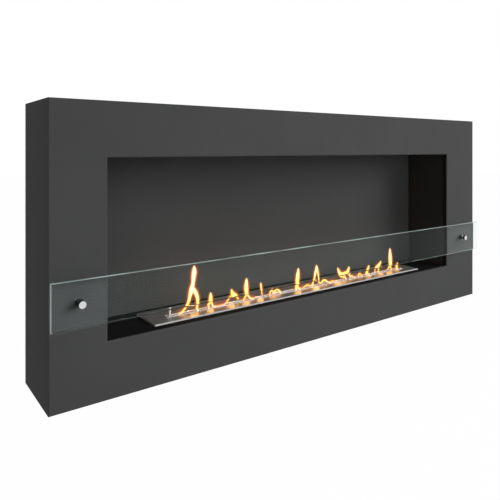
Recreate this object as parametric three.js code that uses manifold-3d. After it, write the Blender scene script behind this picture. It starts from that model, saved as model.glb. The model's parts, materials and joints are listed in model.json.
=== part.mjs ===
// Wall-hung bioethanol fireplace: a folded steel casing with a long opening, a firebox behind it,
// a lift-out slot burner with a sliding damper, and a glass screen on two stand-off holders.
//
// Lengths are millimetres, +X runs to the right, +Y towards the wall and +Z up. The origin is the
// middle of the rear cover, on the face that lies against the wall.

import * as THREE from 'three';
import { mergeVertices } from 'three/addons/utils/BufferGeometryUtils.js';
import Module from 'manifold-3d';

const wasm = await Module();
wasm.setup();

// ---------------------------------------------------------------------------------------------
// Driving dimensions
// ---------------------------------------------------------------------------------------------

// Fits
const SEAT = 0.25; // gap between faces that touch
const RUNNING = 0.3; // gap each side of a part that slides
const BOLT_CLEARANCE = 0.3; // gap all round a screw or a stud in its hole

// Casing
const CASING_LENGTH = 1200;
const CASING_HEIGHT = 500;
const CASING_DEPTH = 150;
const CASING_SHEET = 1.5;
const CASING_BEND = 0.3; // inside radius of the folds at the casing's edges
const REAR_FLANGE = 18;

// Opening in the casing's face
const BORDER_LEFT = 97;
const BORDER_RIGHT = 128.5;
const BORDER_TOP = 95.5;
const BORDER_BOTTOM = 98.5;
const LIP_DEPTH = 12;
const LIP_BEND = 2.5; // inside radius of the fold round the opening

// Rear cover
const COVER_SHEET = 1.5;
const COVER_MARGIN = 0.5; // how far the cover stays inside the casing's outline
const COVER_SCREW_COLUMNS = 3;
const COVER_SCREW_FROM_END = 220; // from the casing's end to the outer column
const VENT_LENGTH = 50;
const VENT_WIDTH = 6;
const VENT_PITCH = 90;
const VENT_FROM_EDGE = 38;
const VENT_FROM_END = 195; // the part of the cover's length that stays without vents at each end

// Keyholes that the casing hangs on
const KEYHOLE_HEAD_RADIUS = 7;
const KEYHOLE_NECK_RADIUS = 4;
const KEYHOLE_RISE = 16;
const KEYHOLE_FROM_END = 150;
const KEYHOLE_FROM_TOP = 72;
const HANGER_WIDTH = 60;
const HANGER_HEIGHT = 56;
const HANGER_THICKNESS = 3;
const HANGER_CORNER = 6;

// Countersunk screws of the rear cover
const SCREW_RADIUS = 1.5;
const SCREW_HEAD_RADIUS = 2.9;
const SCREW_HEAD_HEIGHT = 1.4;
const SCREW_LENGTH = 8;

// Firebox
const FIREBOX_FROM_REAR = 23; // from the firebox's back wall to the wall that carries the casing
const FIREBOX_SHEET = 1.5;
const FIREBOX_BEND = 1.5;
const FIREBOX_FLANGE = 14;
const BRACKET_SHEET = 2;
const BRACKET_BEND = 2;
const BRACKET_FOOT = 24;
const BRACKET_FROM_EDGE = 13; // from the firebox's front and back to the bracket
const BRACKET_FROM_END = 46; // from the firebox's side wall to the bracket's web
const TOP_BOARD_THICKNESS = 30;
const BOARD_TO_HANGER = 1.5; // from the rear board to the hanger plates behind it
const BOARD_MARGIN = 14; // how far a board's edge stays from what is beside it
const BOARD_CHAMFER = 2;

// Burner
const PLATE_FROM_END = 98.25; // from the end of the opening to the burner's top plate
const PLATE_THICKNESS = 3;
const PLATE_CORNER = 1;
const PLATE_REST = 6; // how far the plate lies on the firebox floor along its sides
const PLATE_END_REST = 10; // and at its ends
const TANK_WIDTH = 50;
const TANK_DEPTH = 60;
const TANK_WALL = 2.5;
const TANK_CORNER = 3;
const TANK_FLANGE = 7;
const CUTOUT_CLEARANCE = 2; // between the tank's flange and the hole in the firebox floor
const STUD_COLUMNS = 3;
const STUD_FROM_END = 30; // from the tank's end to the outer column
const STUD_RADIUS = 1.5;
const NUT_FLATS = 5.5;
const NUT_HEIGHT = 2.4;
const STUD_TAIL = 0.8; // thread that shows below the nut
const BAFFLE_COUNT = 2;
const BAFFLE_THICKNESS = 1.5;
const FUEL_PORT_RADIUS = 6;
const WOOL_CORNER = 4;
const WOOL_HEADROOM = 3; // between the wool and the channel above it

// Burner slot
const SLOT_FROM_TANK_END = 17;
const SLOT_TO_CHANNEL = 0.65; // from the rim's flange to the front wall of the damper's channel
const SLOT_RIM_WIDTH = 13.2;
const SLOT_RIM_WALL = 1.2;
const SLOT_RIM_PROUD = 1;
const SLOT_RIM_DEPTH = 9;
const SLOT_RIM_FLANGE = 2.5;
const SLOT_LEDGE = 1;
const GRILLE_THICKNESS = 1.2;
const GRILLE_END_TAB = 9;
const DIAMOND_PITCH = 11;
const DIAMOND_STRAND = 0.9;
const DIAMOND_ROWS = 3;
const GRILLE_BORDER = 1;

// Damper: a windowed strip that slides over the windows of a fixed channel
const CHANNEL_SHEET = 1.5;
const CHANNEL_BEND = 0.5;
const CHANNEL_END_GAP = 2;
const DAMPER_END_GAP = 9.5; // left at the channel's end when the damper has slid there
const DAMPER_SHEET = 1.5;
const WINDOW_PITCH = 24;
const WINDOW_LENGTH = 11;
const WINDOW_WIDTH = 9;
const KNOB_FROM_SLOT_END = 9;
const KNOB_RADIUS = 2.4;
const KNOB_NECK_RADIUS = 1.7;
const KNOB_RIVET_RADIUS = 1.1;
const KNOB_HEIGHT = 16.7; // above the burner's top plate
const KNOB_GRIP = 11;
const KNOB_CHAMFER = 0.5;

// Glass screen
const GLASS_HEIGHT = 77;
const GLASS_THICKNESS = 6;
const GLASS_BOTTOM = 133.7; // above the casing's underside
const GLASS_FROM_FACE = 8;
const GLASS_ARRIS = 0.6;

// Stand-off holders of the glass
const HOLDER_FROM_LEFT = 47.5;
const HOLDER_FROM_RIGHT = 69.5;
const HOLDER_RADIUS = 6;
const HOLDER_STUD_RADIUS = 3;
const HOLDER_WASHER = 1;
const HOLDER_WASHER_OVERSIZE = 0.25;
const HOLDER_BUSH_WALL = 1.2;
const HOLDER_CAP_HEIGHT = 4.5;
const HOLDER_CAP_THREAD = 3.2;
const HOLDER_CAP_CHAMFER = 0.7;
const HOLDER_NUT_FLATS = 10;
const HOLDER_NUT_HEIGHT = 5;
const HOLDER_STUD_TAIL = 2; // thread that shows behind the nut

// Fineness of round stretches
const BEND_STEPS = 4;
const CORNER_STEPS = 3; // on each stretch of an outline's arc, doubled by three.js
const ROUND_STEPS = 36;
const SMALL_ROUND_STEPS = 16;

// Cutting and joining
const PAST = 1; // how far a cutting block runs past the face that it cuts
const SAME_POINT = 1e-4; // corners closer than this are one corner

// ---------------------------------------------------------------------------------------------
// Places that follow from the driving dimensions
// ---------------------------------------------------------------------------------------------

const faceY = -CASING_DEPTH;
const casing = {
  left: -CASING_LENGTH / 2,
  right: CASING_LENGTH / 2,
  bottom: -CASING_HEIGHT / 2,
  top: CASING_HEIGHT / 2,
};
const opening = {
  left: casing.left + BORDER_LEFT,
  right: casing.right - BORDER_RIGHT,
  bottom: casing.bottom + BORDER_BOTTOM,
  top: casing.top - BORDER_TOP,
};
const lipFoldRadius = LIP_BEND + CASING_SHEET;

const coverFrontY = -COVER_SHEET;
const casingRearY = coverFrontY - SEAT;
const flangeMiddle = REAR_FLANGE / 2;

// The firebox walls lie behind the lip, outside the opening.
const lipBack = CASING_SHEET + SEAT;
const firebox = {
  left: opening.left - lipBack,
  right: opening.right + lipBack,
  bottom: opening.bottom - lipBack,
  top: opening.top + lipBack,
};
const fireboxFrontY = faceY + lipFoldRadius + SEAT;
const fireboxBackY = -FIREBOX_FROM_REAR;
const fireboxFlangeBackY = fireboxBackY - SEAT;
const fireboxReach = FIREBOX_SHEET + FIREBOX_FLANGE;

// The burner hangs by its top plate from the firebox floor.
const burnerX = (opening.left + opening.right) / 2;
const burnerY = (faceY + fireboxBackY) / 2;
const plateUnderZ = firebox.bottom + SEAT;
const plateLength = opening.right - opening.left - 2 * PLATE_FROM_END;
const cutoutLength = plateLength - 2 * PLATE_END_REST;
const flangeOuterLength = cutoutLength - 2 * CUTOUT_CLEARANCE;
const tankLength = flangeOuterLength - 2 * TANK_FLANGE;
const tankInnerLength = tankLength - 2 * TANK_WALL;
const slotLength = tankLength - 2 * SLOT_FROM_TANK_END;
const tankInnerWidth = TANK_WIDTH - 2 * TANK_WALL;
const flangeOuterWidth = TANK_WIDTH + 2 * TANK_FLANGE;
const cutoutWidth = flangeOuterWidth + 2 * CUTOUT_CLEARANCE;
const plateDepth = cutoutWidth + 2 * PLATE_REST;

// Heights in the burner, from the underside of its top plate
const tankTop = -SEAT;
const tankFloor = tankTop - TANK_DEPTH + TANK_WALL;
const rimUnder = -SLOT_RIM_DEPTH;
const damperTop = rimUnder - RUNNING;
const damperUnder = damperTop - DAMPER_SHEET;
const channelFloor = damperUnder - RUNNING;
const channelUnder = channelFloor - CHANNEL_SHEET;
const grilleTop = PLATE_THICKNESS;
const grilleUnder = grilleTop - GRILLE_THICKNESS;
const knobTop = PLATE_THICKNESS + KNOB_HEIGHT;

const channelWidth = tankInnerWidth - 2 * SEAT;
const channelLength = tankInnerLength - 2 * CHANNEL_END_GAP;
const damperWidth = channelWidth - 2 * CHANNEL_SHEET - 2 * RUNNING;
const damperTravel = WINDOW_PITCH / 2;
const damperLength = channelLength - damperTravel - 2 * DAMPER_END_GAP;
const knobX = -slotLength / 2 + KNOB_FROM_SLOT_END;

// The slot lies nearer the front, along the front wall of the channel.
const channelFrontY = -channelWidth / 2 + CHANNEL_SHEET;
const slotY = channelFrontY + SLOT_TO_CHANNEL + SLOT_RIM_FLANGE + SLOT_RIM_WIDTH / 2;

const glassZ = casing.bottom + GLASS_BOTTOM + GLASS_HEIGHT / 2;

// ---------------------------------------------------------------------------------------------
// Materials
// ---------------------------------------------------------------------------------------------

const finish = (color, roughness, metalness, more = {}) =>
  new THREE.MeshStandardMaterial({ color, roughness, metalness, ...more });

const powderCoat = finish(0x474848, 0.55, 0.2);
const fireboxPaint = finish(0x3a3a3a, 0.7, 0.1);
const galvanised = finish(0x9a9da0, 0.5, 0.8);
const brushedSteel = finish(0xa9a7a4, 0.32, 1);
const polishedSteel = finish(0xd9d9d9, 0.12, 1);
const zincScrew = finish(0xb4b6b8, 0.35, 0.9);
const clearGlass = finish(0xcfe6e0, 0.03, 0, { transparent: true, opacity: 0.3 });
const blackRubber = finish(0x161616, 0.85, 0);
const ceramicWool = finish(0xeeebe2, 0.95, 0);
const insulation = finish(0xd8d2c4, 0.95, 0);

// ---------------------------------------------------------------------------------------------
// Solids
// ---------------------------------------------------------------------------------------------

function toSolid(geometry) {
  const bare = new THREE.BufferGeometry();
  bare.setAttribute('position', geometry.getAttribute('position'));
  bare.setIndex(geometry.getIndex());
  const merged = mergeVertices(bare, SAME_POINT);
  return new wasm.Manifold(new wasm.Mesh({
    numProp: 3,
    vertProperties: Float32Array.from(merged.getAttribute('position').array),
    triVerts: Uint32Array.from(merged.getIndex().array),
  }));
}

function toGeometry(solid) {
  const mesh = solid.getMesh();
  const geometry = new THREE.BufferGeometry();
  geometry.setAttribute('position', new THREE.BufferAttribute(mesh.vertProperties, 3));
  geometry.setIndex(new THREE.BufferAttribute(mesh.triVerts, 1));
  geometry.computeVertexNormals();
  return geometry;
}

function cut(body, tools) {
  return toGeometry(tools.reduce((solid, tool) => solid.subtract(toSolid(tool)), toSolid(body)));
}

function join(parts) {
  return toGeometry(parts.map(toSolid).reduce((whole, solid) => whole.add(solid)));
}

const X = new THREE.Vector3(1, 0, 0);
const Y = new THREE.Vector3(0, 1, 0);
const Z = new THREE.Vector3(0, 0, 1);

// A section drawn in the YZ plane, carried along X about the middle.
function alongX(shape, length) {
  const geometry = new THREE.ExtrudeGeometry(shape, { depth: length, bevelEnabled: false });
  geometry.translate(0, 0, -length / 2);
  return geometry.applyMatrix4(new THREE.Matrix4().makeBasis(Y, Z, X));
}

// A section drawn in the XZ plane, carried along Y about the middle.
function alongY(shape, length, options = {}) {
  const settings = { depth: length, bevelEnabled: false, curveSegments: CORNER_STEPS, ...options };
  const geometry = new THREE.ExtrudeGeometry(shape, settings);
  geometry.translate(0, 0, -length / 2);
  return geometry.applyMatrix4(new THREE.Matrix4().makeBasis(X, Z, Y.clone().negate()));
}

// A section drawn in the XY plane, standing on `bottom` and reaching up to `top`.
function upFrom(bottom, top, shape) {
  const settings = { depth: top - bottom, bevelEnabled: false, curveSegments: CORNER_STEPS };
  return new THREE.ExtrudeGeometry(shape, settings).translate(0, 0, bottom);
}

// A block with chamfered edges, `length` × `depth` × `height`, about its middle.
function chamferedBlock(length, depth, height, chamfer) {
  const shape = rectangle(length, height, 0);
  return alongY(shape, depth - 2 * chamfer, {
    bevelEnabled: true,
    bevelThickness: chamfer,
    bevelSize: chamfer,
    bevelOffset: -chamfer,
    bevelSegments: 1,
  });
}

// A bar along Y between two places.
function barAlongY(radius, fromY, toY, steps = ROUND_STEPS) {
  const length = toY - fromY;
  return new THREE.CylinderGeometry(radius, radius, length, steps).translate(0, fromY + length / 2, 0);
}

// A bar along Z between two heights.
function barAlongZ(radius, fromZ, toZ, steps = SMALL_ROUND_STEPS) {
  return barAlongY(radius, fromZ, toZ, steps).rotateX(Math.PI / 2);
}

// A profile of [radius, y] turned about the Y axis. It starts and ends on the axis, or closes on
// itself, and runs anticlockwise so that the faces look outwards.
function turned(profile, steps = ROUND_STEPS) {
  return new THREE.LatheGeometry(profile.map(([radius, y]) => new THREE.Vector2(radius, y)), steps);
}

// A ring about the Y axis with a plain bore.
function ringAlongY(outerRadius, boreRadius, fromY, toY) {
  return turned([
    [boreRadius, fromY],
    [outerRadius, fromY],
    [outerRadius, toY],
    [boreRadius, toY],
    [boreRadius, fromY],
  ]);
}

// A hexagon nut about the Y axis, between two places.
function nutAlongY(flats, boreRadius, fromY, toY) {
  const hexagon = barAlongY(flats / Math.sqrt(3), fromY, toY, 6);
  return cut(hexagon, [barAlongY(boreRadius, fromY - PAST, toY + PAST, SMALL_ROUND_STEPS)]);
}

// ---------------------------------------------------------------------------------------------
// Outlines
// ---------------------------------------------------------------------------------------------

// A rectangle about a middle, as a Shape or as a hole in one.
function rectangle(width, height, corner = 0, [x, y] = [0, 0], Outline = THREE.Shape) {
  const outline = new Outline();
  const left = x - width / 2;
  const right = x + width / 2;
  const bottom = y - height / 2;
  const top = y + height / 2;
  outline.moveTo(left + corner, bottom);
  outline.lineTo(right - corner, bottom);
  if (corner > 0) outline.absarc(right - corner, bottom + corner, corner, -Math.PI / 2, 0);
  outline.lineTo(right, top - corner);
  if (corner > 0) outline.absarc(right - corner, top - corner, corner, 0, Math.PI / 2);
  outline.lineTo(left + corner, top);
  if (corner > 0) outline.absarc(left + corner, top - corner, corner, Math.PI / 2, Math.PI);
  outline.lineTo(left, bottom + corner);
  if (corner > 0) outline.absarc(left + corner, bottom + corner, corner, Math.PI, 1.5 * Math.PI);
  outline.closePath();
  return outline;
}

const rectangleHole = (width, height, corner, middle) =>
  rectangle(width, height, corner, middle, THREE.Path);

function roundHole(radius, [x, y]) {
  const hole = new THREE.Path();
  hole.absarc(x, y, radius, 0, 2 * Math.PI);
  return hole;
}

// A slot with round ends, lying along the first axis.
function slotHole(length, width, [x, y]) {
  const reach = (length - width) / 2;
  const hole = new THREE.Path();
  hole.absarc(x + reach, y, width / 2, -Math.PI / 2, Math.PI / 2);
  hole.absarc(x - reach, y, width / 2, Math.PI / 2, 1.5 * Math.PI);
  hole.closePath();
  return hole;
}

// The screw's head goes through the round part, and its shank rises into the neck.
function keyhole([x, y]) {
  const lean = Math.asin(KEYHOLE_NECK_RADIUS / KEYHOLE_HEAD_RADIUS);
  const hole = new THREE.Path();
  hole.absarc(x, y, KEYHOLE_HEAD_RADIUS, Math.PI / 2 + lean, 2.5 * Math.PI - lean);
  hole.absarc(x, y + KEYHOLE_RISE, KEYHOLE_NECK_RADIUS, 0, Math.PI);
  hole.closePath();
  return hole;
}

function withHoles(shape, holes) {
  shape.holes.push(...holes);
  return shape;
}

// The places of `count` copies at `pitch`, about the middle.
function row(count, pitch) {
  return Array.from({ length: count }, (_, i) => (i - (count - 1) / 2) * pitch);
}

// The places of `count` copies, the outer ones `length` apart.
const spread = (count, length) => row(count, length / (count - 1));

// The outline of a folded sheet. `path` follows one face of the sheet, with the sheet on its left,
// and `radii` gives the inside radius of each fold.
function foldedOutline(path, thickness, radii) {
  const corners = path.map(([x, y]) => new THREE.Vector2(x, y));
  const near = [];
  const far = [];
  const leftOf = (from, to) => {
    const along = to.clone().sub(from).normalize();
    return new THREE.Vector2(-along.y, along.x);
  };
  const last = corners.length - 1;
  const startNormal = leftOf(corners[0], corners[1]);
  near.push(corners[0].clone());
  far.push(corners[0].clone().addScaledVector(startNormal, thickness));
  for (let i = 1; i < last; i += 1) {
    const before = leftOf(corners[i - 1], corners[i]);
    const after = leftOf(corners[i], corners[i + 1]);
    const turnsLeft = before.cross(after) > 0;
    const side = turnsLeft ? 1 : -1;
    const nearRadius = turnsLeft ? radii[i - 1] + thickness : radii[i - 1];
    const farRadius = turnsLeft ? radii[i - 1] : radii[i - 1] + thickness;
    const reach = (side * nearRadius) / (1 + before.dot(after));
    const centre = corners[i].clone().addScaledVector(before.clone().add(after), reach);
    const turn = Math.atan2(before.cross(after), before.dot(after));
    for (let step = 0; step <= BEND_STEPS; step += 1) {
      const normal = before.clone().rotateAround(new THREE.Vector2(), (turn * step) / BEND_STEPS);
      near.push(centre.clone().addScaledVector(normal, -side * nearRadius));
      far.push(centre.clone().addScaledVector(normal, -side * farRadius));
    }
  }
  const endNormal = leftOf(corners[last - 1], corners[last]);
  near.push(corners[last].clone());
  far.push(corners[last].clone().addScaledVector(endNormal, thickness));
  return near.concat(far.reverse());
}

const foldedShape = (path, thickness, radii) => new THREE.Shape(foldedOutline(path, thickness, radii));

// A section carried round two rectangles at once, with mitred corners. A point of the section is
// [across, y]: on the near half of `width` it keeps its distance outwards from the inner rectangle,
// and on the far half its distance inwards from the outer one.
function mitredRing(section, width, inner, outer) {
  const positions = [];
  const faces = [];
  const cornerSides = [[-1, -1], [1, -1], [1, 1], [-1, 1]];
  for (const [sideX, sideZ] of cornerSides) {
    for (const { x: across, y } of section) {
      const base = across < width / 2 ? inner : outer;
      const outwards = across < width / 2 ? across : across - width;
      const x = sideX < 0 ? base.left - outwards : base.right + outwards;
      const z = sideZ < 0 ? base.bottom - outwards : base.top + outwards;
      positions.push(x, y, z);
    }
  }
  const size = section.length;
  cornerSides.forEach((_, corner) => {
    const start = corner * size;
    const next = ((corner + 1) % cornerSides.length) * size;
    for (let i = 0; i < size; i += 1) {
      const j = (i + 1) % size;
      faces.push(start + i, start + j, next + j);
      faces.push(start + i, next + j, next + i);
    }
  });
  const geometry = new THREE.BufferGeometry();
  geometry.setAttribute('position', new THREE.Float32BufferAttribute(positions, 3));
  geometry.setIndex(faces);
  geometry.computeVertexNormals();
  return geometry;
}

// ---------------------------------------------------------------------------------------------
// Scene graph helpers
// ---------------------------------------------------------------------------------------------

function addPiece(group, name, geometry, material, [x, y, z] = [0, 0, 0]) {
  const mesh = new THREE.Mesh(geometry, material);
  mesh.name = name;
  mesh.position.set(x, y, z);
  group.add(mesh);
}

function addGroup(parent, [x, y, z]) {
  const group = new THREE.Group();
  group.position.set(x, y, z);
  parent.add(group);
  return group;
}

const fireplace = new THREE.Group();

// ---------------------------------------------------------------------------------------------
// Casing
// ---------------------------------------------------------------------------------------------

const holderPlaces = [
  ['left', casing.left + HOLDER_FROM_LEFT],
  ['right', casing.right - HOLDER_FROM_RIGHT],
];
const keyholeZ = casing.top - KEYHOLE_FROM_TOP;
const keyholePlaces = [
  ['left', casing.left + KEYHOLE_FROM_END],
  ['right', casing.right - KEYHOLE_FROM_END],
];

// Screws run along the upper and lower rear flanges, with one in the middle of each side flange.
const coverScrewPlaces = [
  ...spread(COVER_SCREW_COLUMNS, CASING_LENGTH - 2 * COVER_SCREW_FROM_END).flatMap((x) => [
    [x, casing.bottom + flangeMiddle],
    [x, casing.top - flangeMiddle],
  ]),
  [casing.left + flangeMiddle, 0],
  [casing.right - flangeMiddle, 0],
];

function frontFrame() {
  // The section is as wide as the casing is long, so its two ends keep well apart.
  const width = CASING_LENGTH;
  const section = foldedOutline(
    [
      [0, faceY + LIP_DEPTH],
      [0, faceY],
      [width, faceY],
      [width, casingRearY],
      [width - REAR_FLANGE, casingRearY],
    ],
    CASING_SHEET,
    [LIP_BEND, CASING_BEND, CASING_BEND],
  );
  const holderHoles = holderPlaces.map(([, x]) =>
    barAlongY(HOLDER_STUD_RADIUS + BOLT_CLEARANCE, faceY - PAST, faceY + CASING_SHEET + PAST)
      .translate(x, 0, glassZ));
  const flangeFrontY = casingRearY - CASING_SHEET;
  const screwHoles = coverScrewPlaces.map(([x, z]) =>
    barAlongY(SCREW_RADIUS + BOLT_CLEARANCE, flangeFrontY - PAST, casingRearY + PAST, SMALL_ROUND_STEPS)
      .translate(x, 0, z));
  return cut(mitredRing(section, width, opening, casing), [...holderHoles, ...screwHoles]);
}

// The cone and shank of a countersunk screw whose head ends flush at y = 0. A cutting block of
// that shape is wider by the clearance and runs past both faces.
function countersunk(clearance, past) {
  const slope = (SCREW_HEAD_RADIUS - SCREW_RADIUS) / SCREW_HEAD_HEIGHT;
  return turned([
    [0, -SCREW_LENGTH - past],
    [SCREW_RADIUS + clearance, -SCREW_LENGTH - past],
    [SCREW_RADIUS + clearance, -SCREW_HEAD_HEIGHT],
    [SCREW_HEAD_RADIUS + clearance + past * slope, past],
    [0, past],
  ], SMALL_ROUND_STEPS);
}

function rearCover() {
  const outline = rectangle(CASING_LENGTH - 2 * COVER_MARGIN, CASING_HEIGHT - 2 * COVER_MARGIN);
  const ventCount = Math.floor((CASING_LENGTH - 2 * VENT_FROM_END) / VENT_PITCH);
  const vents = row(ventCount, VENT_PITCH).flatMap((x) => [
    slotHole(VENT_LENGTH, VENT_WIDTH, [x, casing.top - VENT_FROM_EDGE]),
    slotHole(VENT_LENGTH, VENT_WIDTH, [x, casing.bottom + VENT_FROM_EDGE]),
  ]);
  const keyholes = keyholePlaces.map(([, x]) => keyhole([x, keyholeZ]));
  const sheet = alongY(withHoles(outline, [...vents, ...keyholes]), COVER_SHEET);
  sheet.translate(0, -COVER_SHEET / 2, 0);
  const sinks = coverScrewPlaces.map(([x, z]) => countersunk(BOLT_CLEARANCE, PAST).translate(x, 0, z));
  return cut(sheet, sinks);
}

function hangerPlate() {
  const outline = rectangle(HANGER_WIDTH, HANGER_HEIGHT, HANGER_CORNER, [0, KEYHOLE_RISE / 2]);
  return alongY(withHoles(outline, [keyhole([0, 0])]), HANGER_THICKNESS);
}

addPiece(fireplace, 'front_frame', frontFrame(), powderCoat);
addPiece(fireplace, 'rear_cover', rearCover(), galvanised);
coverScrewPlaces.forEach(([x, z], i) => {
  addPiece(fireplace, `cover_screw_${i + 1}`, countersunk(0, 0), zincScrew, [x, 0, z]);
});
const hangerFrontY = coverFrontY - SEAT - HANGER_THICKNESS;
const hangerY = hangerFrontY + HANGER_THICKNESS / 2;
for (const [side, x] of keyholePlaces) {
  addPiece(fireplace, `hanger_plate_${side}`, hangerPlate(), galvanised, [x, hangerY, keyholeZ]);
}

// ---------------------------------------------------------------------------------------------
// Firebox
// ---------------------------------------------------------------------------------------------

// Each wall is a sheet with a flange folded outwards at the back, which the back wall lies on.
function addFirebox() {
  const radii = [FIREBOX_BEND];
  const sideLength = firebox.top - firebox.bottom - 2 * SEAT;
  const spanX = firebox.right - firebox.left + 2 * fireboxReach;
  const middleX = (firebox.left + firebox.right) / 2;
  const middleZ = (firebox.bottom + firebox.top) / 2;

  const ceilingPath = [
    [fireboxFrontY, firebox.top],
    [fireboxFlangeBackY, firebox.top],
    [fireboxFlangeBackY, firebox.top + fireboxReach],
  ];
  const ceiling = alongX(foldedShape(ceilingPath, FIREBOX_SHEET, radii), spanX);
  addPiece(fireplace, 'firebox_ceiling', ceiling, fireboxPaint, [middleX, 0, 0]);

  const floorPath = [
    [fireboxFlangeBackY, firebox.bottom - fireboxReach],
    [fireboxFlangeBackY, firebox.bottom],
    [fireboxFrontY, firebox.bottom],
  ];
  const floorSheet = alongX(foldedShape(floorPath, FIREBOX_SHEET, radii), spanX);
  floorSheet.translate(middleX, 0, 0);
  const cutoutShape = rectangle(cutoutLength, cutoutWidth, 0, [burnerX, burnerY]);
  const cutout = upFrom(firebox.bottom - FIREBOX_SHEET - PAST, firebox.bottom + PAST, cutoutShape);
  addPiece(fireplace, 'firebox_floor', cut(floorSheet, [cutout]), fireboxPaint);

  const leftPath = [
    [firebox.left, fireboxFrontY],
    [firebox.left, fireboxFlangeBackY],
    [firebox.left - fireboxReach, fireboxFlangeBackY],
  ];
  const rightPath = [
    [firebox.right + fireboxReach, fireboxFlangeBackY],
    [firebox.right, fireboxFlangeBackY],
    [firebox.right, fireboxFrontY],
  ];
  for (const [side, path] of [['left', leftPath], ['right', rightPath]]) {
    const wall = upFrom(0, sideLength, foldedShape(path, FIREBOX_SHEET, radii));
    addPiece(fireplace, `firebox_${side}_wall`, wall, fireboxPaint, [0, 0, firebox.bottom + SEAT]);
  }

  const backHeight = firebox.top - firebox.bottom + 2 * fireboxReach;
  const back = alongY(rectangle(spanX, backHeight), FIREBOX_SHEET);
  addPiece(fireplace, 'firebox_back', back, fireboxPaint,
    [middleX, fireboxBackY + FIREBOX_SHEET / 2, middleZ]);
}

// Channels carry the firebox from the casing's floor and tie it to its roof.
function addBrackets() {
  const middleY = (fireboxFrontY + fireboxFlangeBackY) / 2;
  const depth = fireboxFlangeBackY - fireboxFrontY - 2 * BRACKET_FROM_EDGE;
  const levels = [
    ['floor', casing.bottom + CASING_SHEET + SEAT, firebox.bottom - FIREBOX_SHEET - SEAT],
    ['ceiling', firebox.top + FIREBOX_SHEET + SEAT, casing.top - CASING_SHEET - SEAT],
  ];
  const places = [
    ['left', firebox.left + BRACKET_FROM_END],
    ['right', firebox.right - BRACKET_FROM_END - BRACKET_FOOT],
  ];
  for (const [level, low, high] of levels) {
    const path = [[BRACKET_FOOT, high], [0, high], [0, low], [BRACKET_FOOT, low]];
    const outline = foldedShape(path, BRACKET_SHEET, [BRACKET_BEND, BRACKET_BEND]);
    for (const [side, x] of places) {
      const bracket = alongY(outline, depth);
      addPiece(fireplace, `${level}_bracket_${side}`, bracket, galvanised, [x, middleY, 0]);
    }
  }
}

// One board lies on the ceiling between the brackets, and one stands against the back wall.
function addInsulation() {
  const left = firebox.left + BRACKET_FROM_END + BRACKET_FOOT + BOARD_MARGIN;
  const right = firebox.right - BRACKET_FROM_END - BRACKET_FOOT - BOARD_MARGIN;
  const depth = fireboxFlangeBackY - fireboxFrontY - 2 * BOARD_MARGIN;
  const middleX = (left + right) / 2;
  const topBoard = chamferedBlock(right - left, depth, TOP_BOARD_THICKNESS, BOARD_CHAMFER);
  addPiece(fireplace, 'insulation_board_top', topBoard, insulation, [
    middleX,
    (fireboxFrontY + fireboxFlangeBackY) / 2,
    firebox.top + FIREBOX_SHEET + SEAT + TOP_BOARD_THICKNESS / 2,
  ]);

  const height = firebox.top - firebox.bottom + 2 * fireboxReach - 2 * BOARD_MARGIN;
  const frontY = fireboxBackY + FIREBOX_SHEET + SEAT;
  const backY = hangerFrontY - BOARD_TO_HANGER;
  const rearBoard = chamferedBlock(right - left, backY - frontY, height, BOARD_CHAMFER);
  addPiece(fireplace, 'insulation_board_rear', rearBoard, insulation, [
    middleX,
    (frontY + backY) / 2,
    (firebox.bottom + firebox.top) / 2,
  ]);
}

addFirebox();
addBrackets();
addInsulation();

// ---------------------------------------------------------------------------------------------
// Burner
// ---------------------------------------------------------------------------------------------

const burner = addGroup(fireplace, [burnerX, burnerY, plateUnderZ]);
const rimInnerLength = slotLength - 2 * SLOT_RIM_WALL;
const rimInnerWidth = SLOT_RIM_WIDTH - 2 * SLOT_RIM_WALL;
const flangeMiddleY = (TANK_WIDTH + TANK_FLANGE) / 2;
const studPlaces = spread(STUD_COLUMNS, tankLength - 2 * STUD_FROM_END)
  .flatMap((x) => [[x, -flangeMiddleY], [x, flangeMiddleY]]);
const nutTop = tankTop - TANK_WALL - SEAT;

// The top plate has studs welded under it, which go through the tank's flange into nuts.
function topPlate() {
  const slot = rectangleHole(slotLength + 2 * SEAT, SLOT_RIM_WIDTH + 2 * SEAT, 0, [0, slotY]);
  const outline = withHoles(rectangle(plateLength, plateDepth, PLATE_CORNER), [slot]);
  const studEnd = nutTop - NUT_HEIGHT - STUD_TAIL;
  const studs = studPlaces.map(([x, y]) =>
    barAlongZ(STUD_RADIUS, studEnd, PLATE_THICKNESS / 2).translate(x, y, 0));
  return join([upFrom(0, PLATE_THICKNESS, outline), ...studs]);
}

function tank() {
  const tub = cut(
    upFrom(tankTop - TANK_DEPTH, tankTop, rectangle(tankLength, TANK_WIDTH, TANK_CORNER)),
    [upFrom(tankFloor, tankTop + PAST, rectangle(tankInnerLength, tankInnerWidth))],
  );
  const studHoles = studPlaces.map((place) => roundHole(STUD_RADIUS + BOLT_CLEARANCE, place));
  const mouth = rectangleHole(tankInnerLength, tankInnerWidth);
  const flange = rectangle(flangeOuterLength, flangeOuterWidth, TANK_CORNER + TANK_FLANGE);
  return join([tub, upFrom(tankTop - TANK_WALL, tankTop, withHoles(flange, [mouth, ...studHoles]))]);
}

// The raised rim of the slot: a collar with a flange under the plate and a ledge for the grille.
function slotRim() {
  const ring = (low, high, outer, inner) =>
    upFrom(low, high, withHoles(rectangle(...outer), [rectangleHole(...inner)]));
  const wall = [rimInnerLength, rimInnerWidth];
  const outside = [slotLength, SLOT_RIM_WIDTH];
  const flange = outside.map((size) => size + 2 * SLOT_RIM_FLANGE);
  const ledge = wall.map((size) => size - 2 * SLOT_LEDGE);
  const ledgeTop = grilleUnder - SEAT;
  return join([
    ring(rimUnder, PLATE_THICKNESS + SLOT_RIM_PROUD, outside, wall),
    ring(-SEAT - SLOT_RIM_WALL, -SEAT, flange, wall),
    ring(ledgeTop - SLOT_RIM_WALL, ledgeTop, outside, ledge),
  ]);
}

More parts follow.
